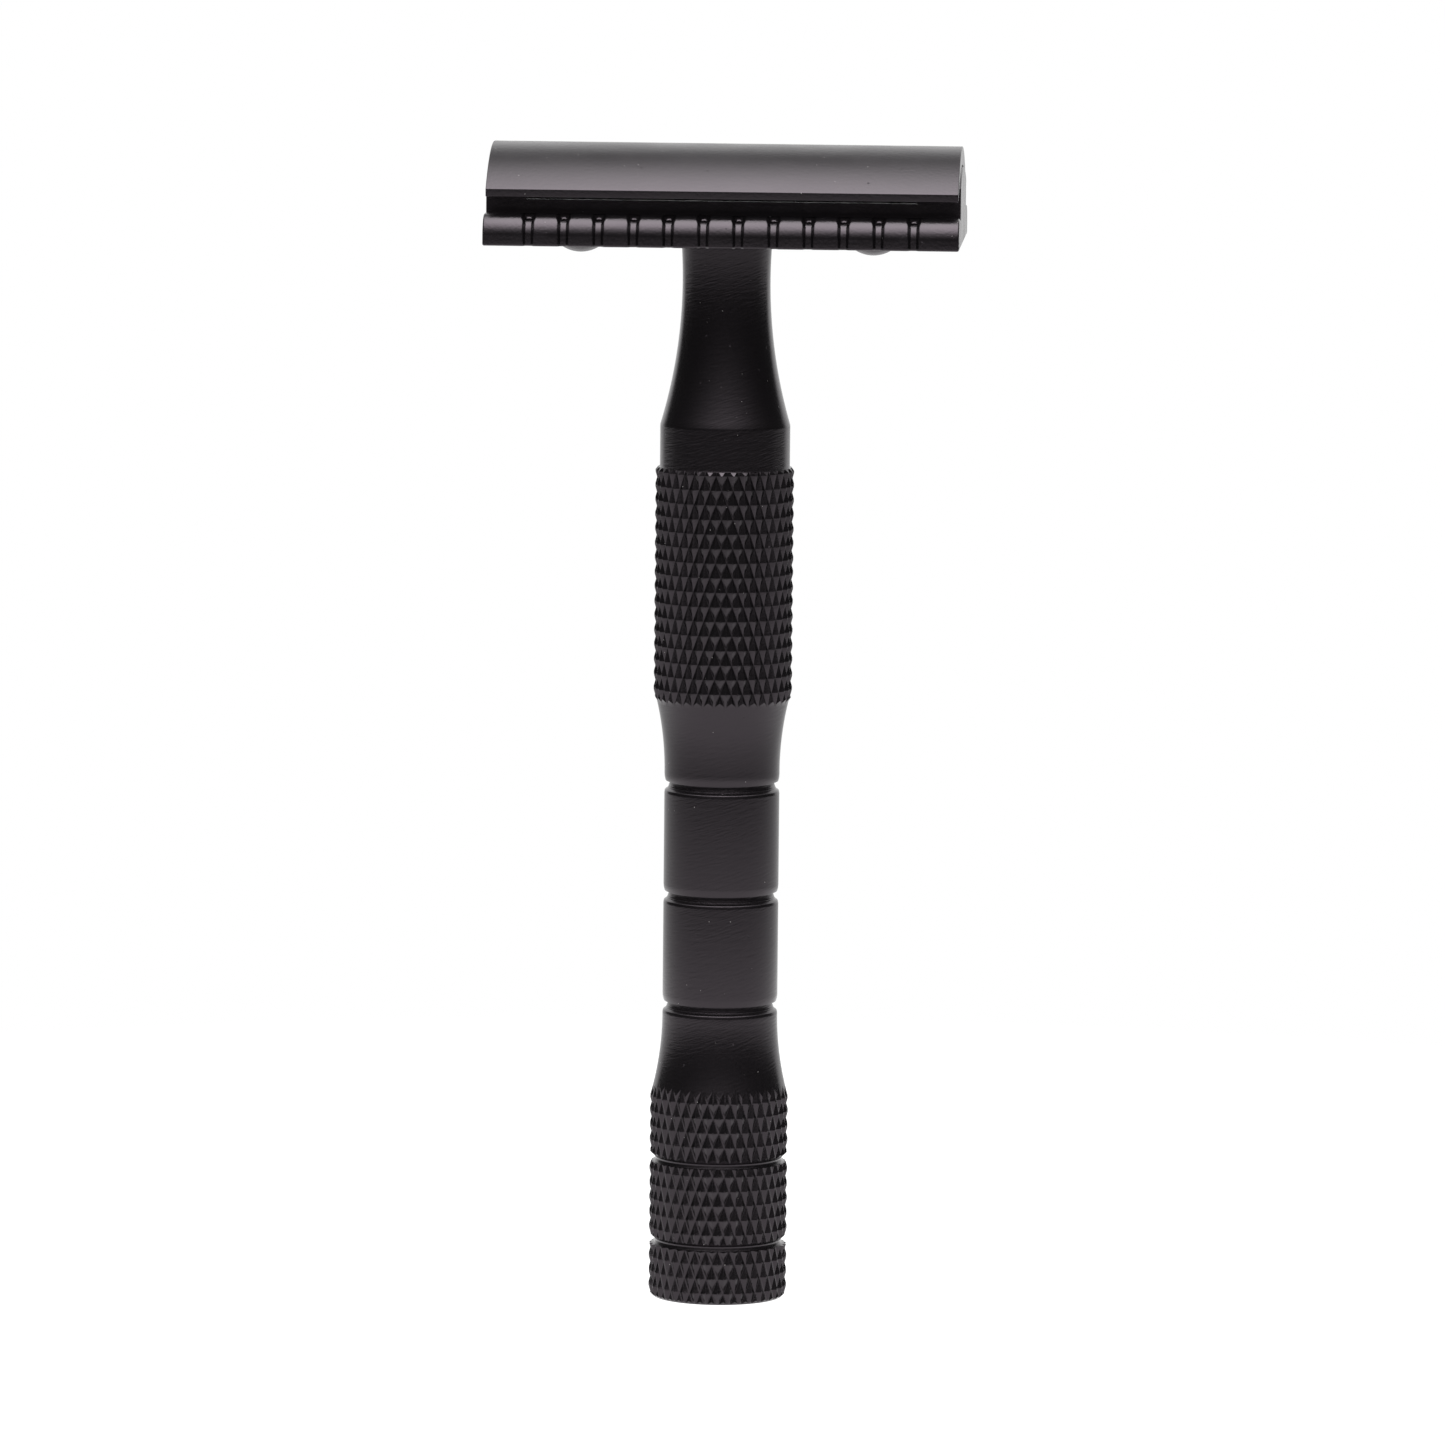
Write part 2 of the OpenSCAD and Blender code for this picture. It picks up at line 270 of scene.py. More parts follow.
def make_floor():
    """A round white light table that dims towards the front in reflections. It shows nothing from below."""
    material = bpy.data.materials.new("white_table")
    material.use_nodes = True
    n = Nodes(material.node_tree)
    place = n.add("ShaderNodeTexCoord").outputs["Object"]
    outwards = n.add("ShaderNodeVectorMath", {0: place}, operation="LENGTH").outputs["Value"]
    near = n.ramp(outwards, *TABLE_NEAR_EDGE, TABLE_NEAR_LIGHT, TABLE_LIGHT)
    backwards = n.add("ShaderNodeSeparateXYZ", {0: place}).outputs["Y"]
    front = n.ramp(outwards, *TABLE_FRONT_FADE, 1, 0)
    fade = n.math("MAXIMUM", front, n.ramp(backwards, *TABLE_BACK_START))
    light = n.math("MULTIPLY", near, fade)
    is_camera = n.add("ShaderNodeLightPath").outputs["Is Camera Ray"]
    strength = n.math("MAXIMUM", light, is_camera)
    glow = n.add("ShaderNodeEmission", {"Color": (1, 1, 1, 1), "Strength": strength})
    clear = n.add("ShaderNodeBsdfTransparent")
    below = n.add("ShaderNodeNewGeometry").outputs["Backfacing"]
    mix = n.add("ShaderNodeMixShader", {0: below, 1: glow.outputs[0], 2: clear.outputs[0]})
    n.add("ShaderNodeOutputMaterial", {"Surface": mix.outputs[0]})
    shape = bmesh.new()
    rim = [polar(FLOOR_RADIUS / MM, 360 * i / 96, -FLOOR_DROP / MM) for i in range(96)]
    shape.faces.new([shape.verts.new(point) for point in rim])
    mesh = bpy.data.meshes.new("floor")
    shape.to_mesh(mesh)
    shape.free()
    floor = bpy.data.objects.new("floor", mesh)
    bpy.context.scene.collection.objects.link(floor)
    mesh.materials.append(material)


# ---------------------------------------------------------------- materials

ANODISED_TINT = (1.0, 0.865, 0.965)
SCRATCH_SLOPE = 17
NICK_DEPTH = 5.0
NICK_CELL = 1.7
NICK_R = 0.1
DUST = (0.3, 0.29, 0.28)
DUST_CELL = 1.3
DUST_R = 0.055


def new_material(name, color, roughness, metallic=0.0):
    material = bpy.data.materials.new(name)
    material.use_nodes = True
    n = Nodes(material.node_tree)
    shader = n.add(
        "ShaderNodeBsdfPrincipled",
        {"Base Color": (*color, 1), "Roughness": roughness, "Metallic": metallic},
    )
    if not metallic:
        shader.inputs["Specular Tint"].default_value = (*ANODISED_TINT, 1)
    n.add("ShaderNodeOutputMaterial", {"Surface": shader.outputs[0]})
    return material, n, shader


def noise(n, scale, detail=2.0, stretch=(1, 1, 1), turn=0.0):
    """Noise in the object's own space, with scale in waves per millimetre, turned about Y by degrees."""
    place = n.add("ShaderNodeTexCoord").outputs["Object"]
    if turn:
        rotation = (0, math.radians(turn), 0)
        place = n.add("ShaderNodeMapping", {"Vector": place, "Rotation": rotation}).outputs[0]
    mapping = n.add("ShaderNodeMapping", {"Vector": place, "Scale": [s * scale / MM for s in stretch]})
    waves = n.add("ShaderNodeTexNoise", {"Vector": mapping.outputs[0], "Scale": 1.0, "Detail": detail})
    return waves.outputs["Fac"]


def finish_surface(n, shader, height, depth, grain, rough):
    """Gives a shader relief from a height of that depth in mm, and a roughness that follows the grain."""
    bump = n.add("ShaderNodeBump", {"Height": height, "Strength": 1.0, "Distance": depth * MM})
    n.tree.links.new(bump.outputs[0], shader.inputs["Normal"])
    n.tree.links.new(n.ramp(grain, 0.3, 0.7, *rough), shader.inputs["Roughness"])


def specks(n, cell, radius):
    """1 in small scattered balls of that radius in mm, one to a cubic cell of that size, and 0 outside."""
    place = n.add("ShaderNodeTexCoord").outputs["Object"]
    cells = n.add("ShaderNodeTexVoronoi", {"Vector": place, "Scale": 1 / (cell * MM), "Randomness": 1.0})
    return n.ramp(cells.outputs["Distance"], 0.4 * radius / cell, radius / cell, 1, 0)


def nicked(n, height):
    """A height with a few tiny pits in it."""
    return n.math("SUBTRACT", height, n.math("MULTIPLY", specks(n, NICK_CELL, NICK_R), NICK_DEPTH))


def mixed(n, amount, first, second):
    """A colour between two, each of them a tuple or a socket."""
    first, second = ((*c, 1) if isinstance(c, tuple) else c for c in (first, second))
    mix = n.add("ShaderNodeMix", data_type="RGBA")
    for name, value in (("Factor", amount), ("A", first), ("B", second)):
        sockets = [s for s in mix.inputs if s.name == name and s.enabled]
        if isinstance(value, bpy.types.NodeSocket):
            n.tree.links.new(value, sockets[0])
        else:
            sockets[0].default_value = value
    return next(s for s in mix.outputs if s.enabled)


def tint(n, shader, amount, dark, light):
    n.tree.links.new(mixed(n, amount, dark, light), shader.inputs["Base Color"])


def dusty_black(n, shader, amount):
    """Black dye of uneven strength with a few grains of dust on it."""
    dyed = mixed(n, amount, (0.0024, 0.0021, 0.0024), (0.0036, 0.0032, 0.0036))
    dusty = mixed(n, specks(n, DUST_CELL, DUST_R), dyed, DUST)
    n.tree.links.new(dusty, shader.inputs["Base Color"])


def turned_black():
    """Black anodised aluminium with the fine rings that turning leaves."""
    material, n, shader = new_material("turned_black", (0.003, 0.0026, 0.003), 0.3)
    rings = noise(n, 5.0, 4.0, (0.05, 0.05, 1))
    scratches = noise(n, 6.0, 3.0, (0.12, 0.12, 1), turn=SCRATCH_SLOPE)
    relief = n.math("ADD", rings, n.math("MULTIPLY", scratches, 3.0))
    finish_surface(n, shader, nicked(n, relief), 0.004, noise(n, 8.0, 2.0, (0.3, 0.3, 1)), (0.18, 0.22))
    dusty_black(n, shader, rings)
    return material


def blasted_black():
    """Black anodised aluminium with a fine blasted grain."""
    material, n, shader = new_material("blasted_black", (0.003, 0.0026, 0.003), 0.33)
    grain = noise(n, 3.5, 4.0)
    patches = noise(n, 0.25, 3.0)
    finish_surface(n, shader, nicked(n, grain), 0.02, patches, (0.22, 0.27))
    dusty_black(n, shader, patches)
    return material


def brushed_steel_painted_shade():
    """Ground stainless steel, with its scratches along the blade. Its grey is darker than real ground
    steel: painted shade for the blade's edge under the cap's lip.
    """
    material, n, shader = new_material("brushed_steel_painted_shade", (0.38, 0.38, 0.38), 0.25, 1.0)
    scratches = noise(n, 12.0, 3.0, (0.04, 1, 1))
    finish_surface(n, shader, scratches, 0.0003, scratches, (0.22, 0.34))
    return material


def machined_steel():
    """Bright machined steel of the threaded post."""
    material, n, shader = new_material("machined_steel", (0.48, 0.47, 0.46), 0.3, 1.0)
    rings = noise(n, 8.0, 2.0, (0.1, 0.1, 1))
    finish_surface(n, shader, rings, 0.0008, rings, (0.22, 0.38))
    return material


def machined_brass():
    """Brass of the threaded insert, a little dulled."""
    material, n, shader = new_material("machined_brass", (0.6, 0.42, 0.17), 0.32, 1.0)
    rings = noise(n, 8.0, 2.0, (0.1, 0.1, 1))
    stains = noise(n, 0.8, 3.0)
    finish_surface(n, shader, rings, 0.0008, stains, (0.24, 0.42))
    tint(n, shader, stains, (0.48, 0.31, 0.12), (0.68, 0.5, 0.22))
    return material


# ---------------------------------------------------------------- mesh tools


def new_object(name, shape):
    """An object from a bmesh, which is freed."""
    bmesh.ops.recalc_face_normals(shape, faces=shape.faces)
    mesh = bpy.data.meshes.new(name)
    shape.to_mesh(mesh)
    shape.free()
    piece = bpy.data.objects.new(name, mesh)
    bpy.context.scene.collection.objects.link(piece)
    return piece


def rounded(corners, closed=False):
    """Points of a line through corners (a, b, radius), with an arc at each corner that has a radius."""
    points = []
    for i, (a, b, radius) in enumerate(corners):
        here = Vector((a, b))
        if radius == 0 or (not closed and i in (0, len(corners) - 1)):
            points.append(here)
            continue
        back = (Vector(corners[i - 1][:2]) - here).normalized()
        ahead = (Vector(corners[(i + 1) % len(corners)][:2]) - here).normalized()
        half = back.angle(ahead) / 2
        turn = math.pi - 2 * half
        centre = here + (back + ahead).normalized() * (radius / math.sin(half))
        arm = here + back * (radius / math.tan(half)) - centre
        side = 1 if back.y * ahead.x > back.x * ahead.y else -1
        steps = max(2, math.ceil(turn / ARC_STEP))
        for k in range(steps + 1):
            points.append(centre + Matrix.Rotation(side * turn * k / steps, 2) @ arm)
    return points


def arc(centre, radius, start, end, steps):
    """Points on an arc between two angles in degrees, both ends included."""
    angles = [math.radians(start + (end - start) * k / steps) for k in range(steps + 1)]
    return [Vector((centre[0] + radius * math.cos(a), centre[1] + radius * math.sin(a))) for a in angles]


def polar(radius, azimuth, z):
    """A point in metres at an azimuth in degrees from -Y towards +X."""
    a = math.radians(azimuth)
    return Vector((radius * math.sin(a), -radius * math.cos(a), z)) * MM


def join_rings(shape, rings, closed):
    """Faces between rings of vertices. A ring of one vertex is a pole."""
    following = rings[1:] + (rings[:1] if closed else [])
    for low, high in zip(rings, following):
        count = max(len(low), len(high))
        for i in range(count):
            j = (i + 1) % count
            corners = (low[i % len(low)], low[j % len(low)], high[j % len(high)], high[i % len(high)])
            distinct = list(dict.fromkeys(corners))
            if len(distinct) > 2:
                shape.faces.new(distinct)


def lathe(name, outline, segments, closed=False):
    """A solid turned about Z from an outline of (radius, height)."""
    shape = bmesh.new()
    rings = []
    for radius, z in outline:
        count = segments if radius > 1e-6 else 1
        rings.append([shape.verts.new(polar(radius, 360 * c / count, z)) for c in range(count)])
    join_rings(shape, rings, closed)
    return new_object(name, shape)


def bake(piece):
    """Replaces a piece's mesh by what its modifiers make of it."""
    shown = piece.evaluated_get(bpy.context.evaluated_depsgraph_get())
    old, piece_mesh = piece.data, bpy.data.meshes.new_from_object(shown)
    piece.modifiers.clear()
    piece.data = piece_mesh
    bpy.data.meshes.remove(old)


def combine(piece, operation, tools):
    """Cuts the tools out of a piece, or joins them to it, and deletes them."""
    for tool in tools:
        modifier = piece.modifiers.new("combine", "BOOLEAN")
        modifier.operation = operation
        modifier.solver = "MANIFOLD"
        modifier.object = tool
    bake(piece)
    for tool in tools:
        bpy.data.objects.remove(tool)


def rods(name, places, radius, low_z, high_z, segments=48):
    """Upright cylinders at places (x, y), in one mesh, used as a tool."""
    shape = bmesh.new()
    for x, y in places:
        rings = []
        for z in (low_z, high_z):
            ring = [polar(radius, 360 * c / segments, z) + Vector((x, y, 0)) * MM for c in range(segments)]
            rings.append([shape.verts.new(point) for point in ring])
        join_rings(shape, rings, False)
        shape.faces.new(list(reversed(rings[0])))
        shape.faces.new(rings[1])
    return new_object(name, shape)


def finish_piece(piece, node, body, material):
    """Shades a piece, gives it its finish, and puts it in a CAD node's place on a body."""
    mesh = piece.data
    mesh.materials.clear()
    mesh.materials.append(material)
    mesh.shade_smooth()
    mesh.set_sharp_from_angle(angle=SMOOTH_ANGLE)
    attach(piece, body)
    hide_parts(node)


# ---------------------------------------------------------------- handle


def hollow(least_r, waist_z, arc_r, start, end, steps=20):
    """Corners along a hollow curve whose least radius is at waist_z, from start to end above it."""
    heights = [start + (end - start) * k / steps for k in range(steps + 1)]
    return [(least_r + arc_r - math.sqrt(arc_r**2 - h**2), waist_z + h, 0) for h in heights]


def groove(surface_r, z, profile):
    """Corners of a turned groove from a profile of (height from its middle, depth, fillet)."""
    return [(surface_r - depth, z + height, fillet) for height, depth, fillet in profile]


def rise_to(radius, arc_r, least_r):
    """How far along a hollow curve its radius reaches the given one."""
    return math.sqrt(arc_r**2 - (arc_r - (radius - least_r)) ** 2)


def handle_outline():
    """The turned outline, from the middle of the foot up to the shoulder and down into the bore."""
    blank_r = GRIP_R - KNURL_TIP_FLAT
    lower_flare_z = WAIST_GROOVES[0] - WAIST_GROOVE_W / 2
    upper_flare_z = WAIST_GROOVES[2] + WAIST_GROOVE_W / 2 + FLARE_FOOT_H
    corners = [(0, 0, 0), (GRIP_R - FOOT_BEVEL, 0, 0.06), (blank_r, FOOT_BEVEL, 0)]
    for z in GRIP_GROOVES:
        corners += groove(blank_r, z, GRIP_GROOVE)
    flare = hollow(WAIST_R, lower_flare_z, FLARE_R, -rise_to(blank_r, FLARE_R, WAIST_R), 0)
    corners += flare[:-1]
    for z in WAIST_GROOVES:
        corners += groove(WAIST_R, z, WAIST_GROOVE)
    corners += hollow(WAIST_R, upper_flare_z, FLARE_R, 0, UPPER_FLARE_TOP - upper_flare_z)
    corners += [
        (blank_r, UPPER_FLARE_TOP + GRIP_STEP_H, 0),
        (blank_r, UPPER_GRIP_TOP - UPPER_GRIP_CHAMFER_H, 0),
        (UPPER_GRIP_CHAMFER_R, UPPER_GRIP_TOP - 0.04, 0),
        (COLLAR_R, UPPER_GRIP_TOP, 0.05),
    ]
    neck_start = -rise_to(COLLAR_R, NECK_ARC_R, NECK_R)
    neck = hollow(NECK_R, NECK_WAIST_Z, NECK_ARC_R, neck_start, SHOULDER_Z - NECK_WAIST_Z, 32)
    corners += [(COLLAR_R, neck[0][1], 0.9)] + neck[1:-1] + [(*neck[-1][:2], 0.1)]
    bore_r = INSERT_HIGH.x
    tap_r = POST_HIGH.x + THREAD_GAP
    drill_tip = tap_r * math.tan(math.radians(31))
    corners += [
        (bore_r + 0.12, SHOULDER_Z, 0),
        (bore_r, SHOULDER_Z - 0.12, 0),
        (bore_r, INSERT_LOW.z, 0),
        (tap_r, INSERT_LOW.z, 0),
        (tap_r, INSERT_LOW.z - TAP_RELIEF_H, 0),
        (0, INSERT_LOW.z - TAP_RELIEF_H - drill_tip, 0),
    ]
    return rounded(corners)


def knurl_tool(name, top_z, row_h, rows, turn, leading):
    """A ring whose bore is covered with pits, so that cutting with it leaves rows of pointed studs.

    Its edges are bevelled. leading is the share of the bevel for the grooves that lead down to the right.
    """
    columns = 2 * KNURL_POINTS
    shape = bmesh.new()
    grid = []
    for i in range(rows + 1):
        radii = [KNURL_TIP_R if (i + c) % 2 == 0 else KNURL_ROOT_R for c in range(columns)]
        z = top_z - i * row_h
        grid.append([shape.verts.new(polar(r, turn + 360 * c / columns, z)) for c, r in enumerate(radii)])
    for i in range(rows):
        for c in range(columns):
            right = (c + 1) % columns
            a, b = grid[i][c], grid[i][right]
            d, e = grid[i + 1][c], grid[i + 1][right]
            halves = ((a, b, d), (b, e, d)) if (i + c) % 2 == 0 else ((a, b, e), (a, e, d))
            for corners in halves:
                shape.faces.new(corners)
    ends = {v for row in (grid[0], grid[-1]) for v in row}
    weight = shape.edges.layers.float.new("bevel_weight_edge")
    for edge in shape.edges:
        if not ends.intersection(edge.verts):
            edge[weight] = leading if leads_down_right(edge) else KNURL_FINE_EDGE
    rim = []
    for z, row in ((top_z, grid[0]), (top_z - rows * row_h, grid[-1])):
        outer = [shape.verts.new(polar(GRIP_R + 1, turn + 360 * c / columns, z)) for c in range(columns)]
        join_rings(shape, [row, outer], False)
        rim.append(outer)
    join_rings(shape, rim, False)
    tool = new_object(name, shape)
    bevel = tool.modifiers.new("edges", "BEVEL")
    bevel.limit_method = "WEIGHT"
    bevel.width = KNURL_EDGE * MM
    bake(tool)
    return tool


def leads_down_right(edge):
    """True for an edge between two roots of the knurl that runs down towards higher azimuths."""
    low, high = sorted((v.co for v in edge.verts), key=lambda co: co.z)
    if max(low.xy.length, high.xy.length) > (KNURL_ROOT_R + 0.01) * MM:
        return False
    return high.x * low.y - high.y * low.x > 0


def make_handle(material):
    handle = lathe("knurled_handle", handle_outline(), HANDLE_SEGMENTS)
    tools = [knurl_tool("upper_knurl", **UPPER_KNURL), knurl_tool("lower_knurl", **LOWER_KNURL)]
    combine(handle, "DIFFERENCE", tools)
    finish_piece(handle, "handle", "handle", material)


# ---------------------------------------------------------------- thread


def thread_r(azimuth, z, crest_r):
    """Radius of a right-hand thread's surface at one point."""
    phase = (z / PITCH - azimuth / 360) % 1
    flank = abs(2 * phase - 1)
    return crest_r - THREAD_DEPTH * min(1, max(0, (flank - 0.12) / 0.7))


def plain_ring(shape, radius, z):
    """A ring of vertices with as many segments as the thread."""
    segments = THREAD_SEGMENTS
    return [shape.verts.new(polar(radius, 360 * c / segments, z)) for c in range(segments)]


def threaded_rings(shape, crest_r, low_z, high_z, limit=None):
    """Rings of vertices up a threaded surface. limit gives a radius that it may not pass at a height."""
    count = round((high_z - low_z) / PITCH * RINGS_PER_TURN)
    rings = []
    for i in range(count + 1):
        z = low_z + (high_z - low_z) * i / count
        ring = []
        for c in range(THREAD_SEGMENTS):
            azimuth = 360 * c / THREAD_SEGMENTS
            radius = thread_r(azimuth, z, crest_r)
            if limit:
                radius = min(radius, limit(z))
            ring.append(shape.verts.new(polar(radius, azimuth, z)))
        rings.append(ring)
    return rings


def make_post(material):
    """The post: threaded up to just under the cap's boss, plain above, with a bevelled lower end."""
    radius = POST_HIGH.x
    thread_top = CAP_LOW.z - POST_PLAIN_BELOW_BOSS
    bevel = 0.75 * PITCH
    shape = bmesh.new()
    pole = [shape.verts.new((0, 0, POST_LOW.z * MM))]
    rings = threaded_rings(
        shape, radius, POST_LOW.z, thread_top, lambda z: radius - bevel + (z - POST_LOW.z)
    )
    rings += [plain_ring(shape, radius, z) for z in (thread_top + 0.05, POST_HIGH.z)]
    end = [shape.verts.new((0, 0, POST_HIGH.z * MM))]
    join_rings(shape, [pole, *rings, end], False)
    finish_piece(new_object("screw_post", shape), "threaded_post", "cap", material)


def make_insert(material):
    """The threaded insert: a tube with the matching thread inside and a bevel at its mouth."""
    shape = bmesh.new()
    outer_r, low_z, high_z = INSERT_HIGH.x, INSERT_LOW.z, INSERT_HIGH.z
    crest_r = POST_HIGH.x + THREAD_GAP
    inner = threaded_rings(shape, crest_r, low_z, high_z)
    outline = [
        (outer_r - INSERT_BEVEL, high_z), (outer_r, high_z - INSERT_BEVEL),
        (outer_r, low_z + INSERT_BEVEL), (outer_r - INSERT_BEVEL, low_z),
    ]
    outer = [plain_ring(shape, r, z) for r, z in outline]
    join_rings(shape, inner + outer, True)
    insert = new_object("brass_insert", shape)
    finish_piece(insert, "thread_insert", "handle", material)


# ---------------------------------------------------------------- base plate


def smoothstep(value, low, high):
    t = min(1, max(0, (value - low) / (high - low)))
    return t * t * (3 - 2 * t)


def outward(points):
    """Unit normals that point out of a closed anticlockwise outline."""
    normals = []
    for i, point in enumerate(points):
        along = (points[(i + 1) % len(points)] - point).normalized() + (point - points[i - 1]).normalized()
        normals.append(Vector((along.y, -along.x)).normalized())
    return normals


def end_stations(half_length, radius):
    """(x, inset) pairs for the rounded ends of a bar, each rim held by a narrow flat ring."""
    quarter = [math.radians(a) for a in (90, 67.5, 45, 22.5, 0)]
    left = [(-half_length, 1.1 * radius)]
    left += [(-half_length + radius * (1 - math.sin(a)), radius * (1 - math.cos(a))) for a in quarter]
    return left, [(-x, inset) for x, inset in reversed(left)]


def loft(name, outline, stations, shift=None):
    """A bar along X with an outline of (y, z), lofted over stations (x, inset).

    shift(x, point, normal) gives a point's move.
    """
    normals = outward(outline)
    shape = bmesh.new()
    rings = []
    for x, inset in stations:
        ring = []
        for point, normal in zip(outline, normals):
            place = point - normal * inset
            if shift:
                place = place + shift(x, point, normal)
            ring.append(shape.verts.new(Vector((x, *place)) * MM))
        rings.append(ring)
    join_rings(shape, rings, False)
    shape.faces.new(list(reversed(rings[0])))
    shape.faces.new(rings[-1])
    return new_object(name, shape)


def mirrored(half):
    """A closed outline from its +Y half, which runs from the bottom middle to the top middle."""
    other = [Vector((-p.x, p.y)) for p in reversed(half) if p.x > 1e-6]
    return list(half) + other


def plate_half():
    """The +Y half of the plate's outline: underside, rounded safety bar, sloping ledge and raised bed."""
    ledge = [(y, PLATE_TOP_Z) for y in (BAR_Y - 0.08 * k for k in range(1, 14))]
    bed_corner_z = BEND_Z + math.sqrt(BED_R**2 - BED_HALF_W**2)
    underside = [(y, PLATE_BOTTOM_Z, 0) for y in (0, 7, 11.3)]
    corner = rounded([
        *underside, (PLATE_HIGH.y, PLATE_BOTTOM_Z, 0.2),
        (PLATE_HIGH.y, BAR_Z - 0.35, 0), (PLATE_HIGH.y, BAR_Z, 0),
    ])
    bar = arc((BAR_Y, BAR_Z), BAR_R, 0, 90, 44)[1:]
    bed_edge = math.degrees(math.acos(BED_HALF_W / BED_R))
    bed_top = [(p.x, p.y, 0) for p in arc((0, BEND_Z), BED_R, bed_edge, 90, 22)]
    wall = rounded(
        [
            (BAR_Y - 1.2, PLATE_TOP_Z, 0), (BED_HALF_W, PLATE_TOP_Z - GUTTER_DEPTH, 0.12),
            (BED_HALF_W, bed_corner_z, 0.22), *bed_top[1:],
        ]
    )
    return corner + bar + [Vector(p) for p in ledge] + wall


def notch_centres():
    return [(i - (NOTCHES - 1) / 2) * NOTCH_PITCH for i in range(NOTCHES)]


def notch_shift(x, point, normal):
    """Sinks the notches into the bars, fading out on the ledge, with a soft rim round each drain hole."""
    across, side = abs(point.x), math.copysign(1, point.x)
    if across < BAR_Y - 1.3 or point.y > PLATE_TOP_Z + 0.01:
        return Vector((0, 0))
    from_notch = min(abs(x - centre) for centre in notch_centres())
    on_ledge = smoothstep(across, BAR_Y - 0.75, BAR_Y - 0.05)
    widen = 1 + 0.3 * smoothstep(point.y, BAR_Z + 1.3, PLATE_TOP_Z)
    across_notch = 1 - smoothstep(from_notch / widen, NOTCH_FLOOR_HALF, NOTCH_TOP_HALF)
    depth = NOTCH_DEPTH * on_ledge * across_notch**NOTCH_POWER
    if point.y <= BAR_Z:
        if across < PLATE_HIGH.y - 0.3:
            return Vector((0, 0))
        return Vector((-side * depth, 0))
    moved = -normal * depth
    from_hole = math.hypot(from_notch, across - abs(moved.x) - DRAIN_Y)
    into_rim = min(DRAIN_RIM, max(0, DRAIN_R + DRAIN_RIM - from_hole))
    sink = DRAIN_RIM - math.sqrt(DRAIN_RIM**2 - into_rim**2)
    return moved - Vector((0, sink))


def plate_stations():
    left, right = end_stations(PLATE_HIGH.x, PLATE_END_R)
    fine = [k * 0.05 for k in range(-15, 16)]
    middle = [(centre + offset, 0) for centre in notch_centres() for offset in fine]
    gaps = [(centre + NOTCH_PITCH / 2, 0) for centre in notch_centres()[:-1]]
    return left + sorted(middle + gaps) + right


def make_base_plate(material):
    plate = loft("base_plate_body", mirrored(plate_half()), plate_stations(), notch_shift)
    pad = lathe(
        "pad",
        rounded([
            (0, PLATE_LOW.z, 0), (PAD_R, PLATE_LOW.z, 0.12), (PAD_R, PLATE_BOTTOM_Z, 0),
            (PAD_R, PLATE_BOTTOM_Z + 0.5, 0), (0, PLATE_BOTTOM_Z + 0.5, 0),
        ]),
        96,
    )
    combine(plate, "UNION", [pad])
    drains = [(x, side * DRAIN_Y) for x in notch_centres() for side in (-1, 1)]
    pins = [(side * PIN_X, 0) for side in (-1, 1)]
    recess_z = CAP_LOW.z - FREE_GAP
    bore_r, recess_r = POST_HIGH.x + 0.2, BOSS_R + FREE_GAP
    bore = lathe("bore", [
        (0, PLATE_LOW.z - 1), (bore_r + 0.3, PLATE_LOW.z - 0.15), (bore_r, PLATE_LOW.z + 0.15),
        (bore_r, recess_z), (recess_r, recess_z), (recess_r, PLATE_HIGH.z - 0.2),
        (recess_r + 1.2, PLATE_HIGH.z + 1), (0, PLATE_HIGH.z + 1),
    ], 72)
    combine(plate, "DIFFERENCE", [
        bore,
        rods("drains", drains, DRAIN_R, PLATE_BOTTOM_Z - 1, PLATE_TOP_Z + 1, 24),
        rods("pin_holes", pins, PIN_R + SLIDE_GAP, PLATE_BOTTOM_Z - 1, PLATE_HIGH.z + 1, 60),
    ])
    finish_piece(plate, "base_plate", "base", material)


# ---------------------------------------------------------------- cap, pins


def cap_outline():
    """The cap's outline: upright lips, the arch over them and the curved underside."""
    half_w = CAP_HIGH.y
    lip_low = BEND_Z + math.sqrt(CAP_UNDER_R**2 - half_w**2)
    rise = CAP_HIGH.z - lip_low - LIP_H
    arch_r = (half_w**2 + rise**2) / (2 * rise)
    under_edge = math.degrees(math.acos((half_w - LIP_LEAN) / CAP_UNDER_R))
    arch_edge = math.degrees(math.acos(half_w / arch_r))
    under = [(p.x, p.y, 0) for p in arc((0, BEND_Z), CAP_UNDER_R, 90, under_edge, 30)]
    arch = [(p.x, p.y, 0) for p in arc((0, CAP_HIGH.z - arch_r), arch_r, arch_edge, 90, 36)]
    under[-1] = (*under[-1][:2], LIP_EDGE_R)
    arch[0] = (*arch[0][:2], LIP_EDGE_R)
    return mirrored(rounded(under + arch))


def make_cap(material):
    left, right = end_stations(CAP_HIGH.x, CAP_END_R)
    cap = loft("arched_cap", cap_outline(), left + right)
    boss_top = BEND_Z + CAP_UNDER_R + 0.5
    boss = lathe("boss", rounded([
        (0, CAP_LOW.z, 0), (BOSS_R, CAP_LOW.z, 0.25), (BOSS_R, boss_top, 0), (0, boss_top, 0),
    ]), 96)
    combine(cap, "UNION", [boss])
    pins = [(side * PIN_X, 0) for side in (-1, 1)]
    combine(cap, "DIFFERENCE", [
        rods("post_socket", [(0, 0)], POST_HIGH.x, CAP_LOW.z - 1, POST_HIGH.z),
        rods("pin_sockets", pins, PIN_SHANK_R, PIN_HIGH.z - PIN_SHANK_L - 2, PIN_HIGH.z),
    ])
    finish_piece(cap, "cap", "cap", material)


